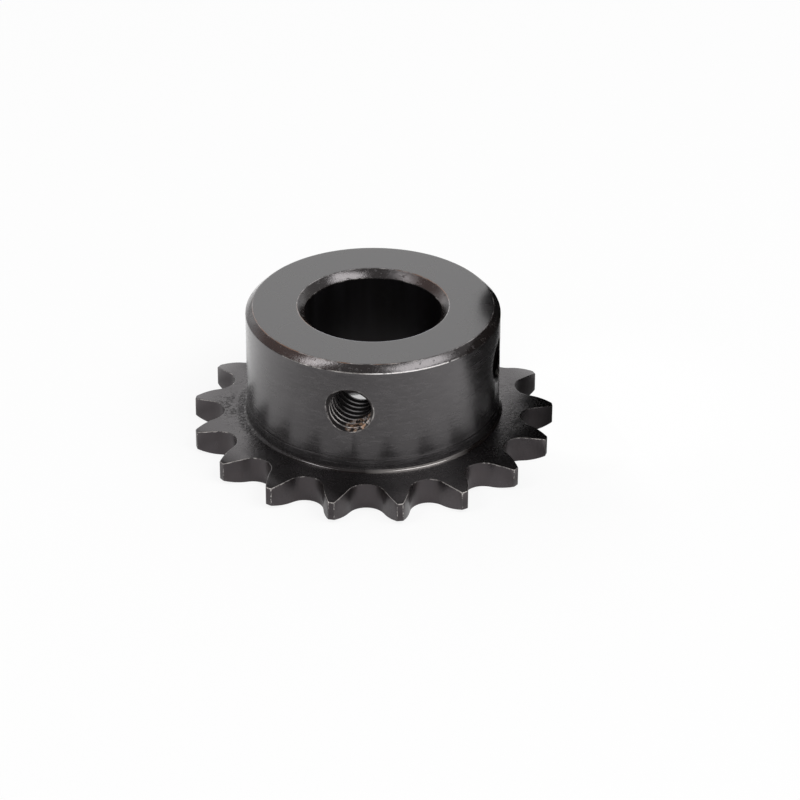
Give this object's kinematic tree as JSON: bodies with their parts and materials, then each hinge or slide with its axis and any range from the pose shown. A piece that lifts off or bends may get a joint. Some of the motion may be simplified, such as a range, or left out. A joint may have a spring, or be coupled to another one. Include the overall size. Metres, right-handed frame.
{
  "type": "chain sprocket",
  "caption": "Toothed plate for a small roller chain, on one end of a plain hub with a through bore and tapped holes for set screws.",
  "frame": {"origin": "on the bore axis, in the lower face of the tooth plate", "axes": "+Z along the bore axis from the tooth plate to the nose of the hub; -Y and +X through the two tapped holes"},
  "size_m": [0.0371, 0.0371, 0.0148],
  "materials": {
    "black_oxide_steel": "satin"
  },
  "bodies": {
    "root": {"sprocket": "black_oxide_steel"}
  },
  "joints": []
}
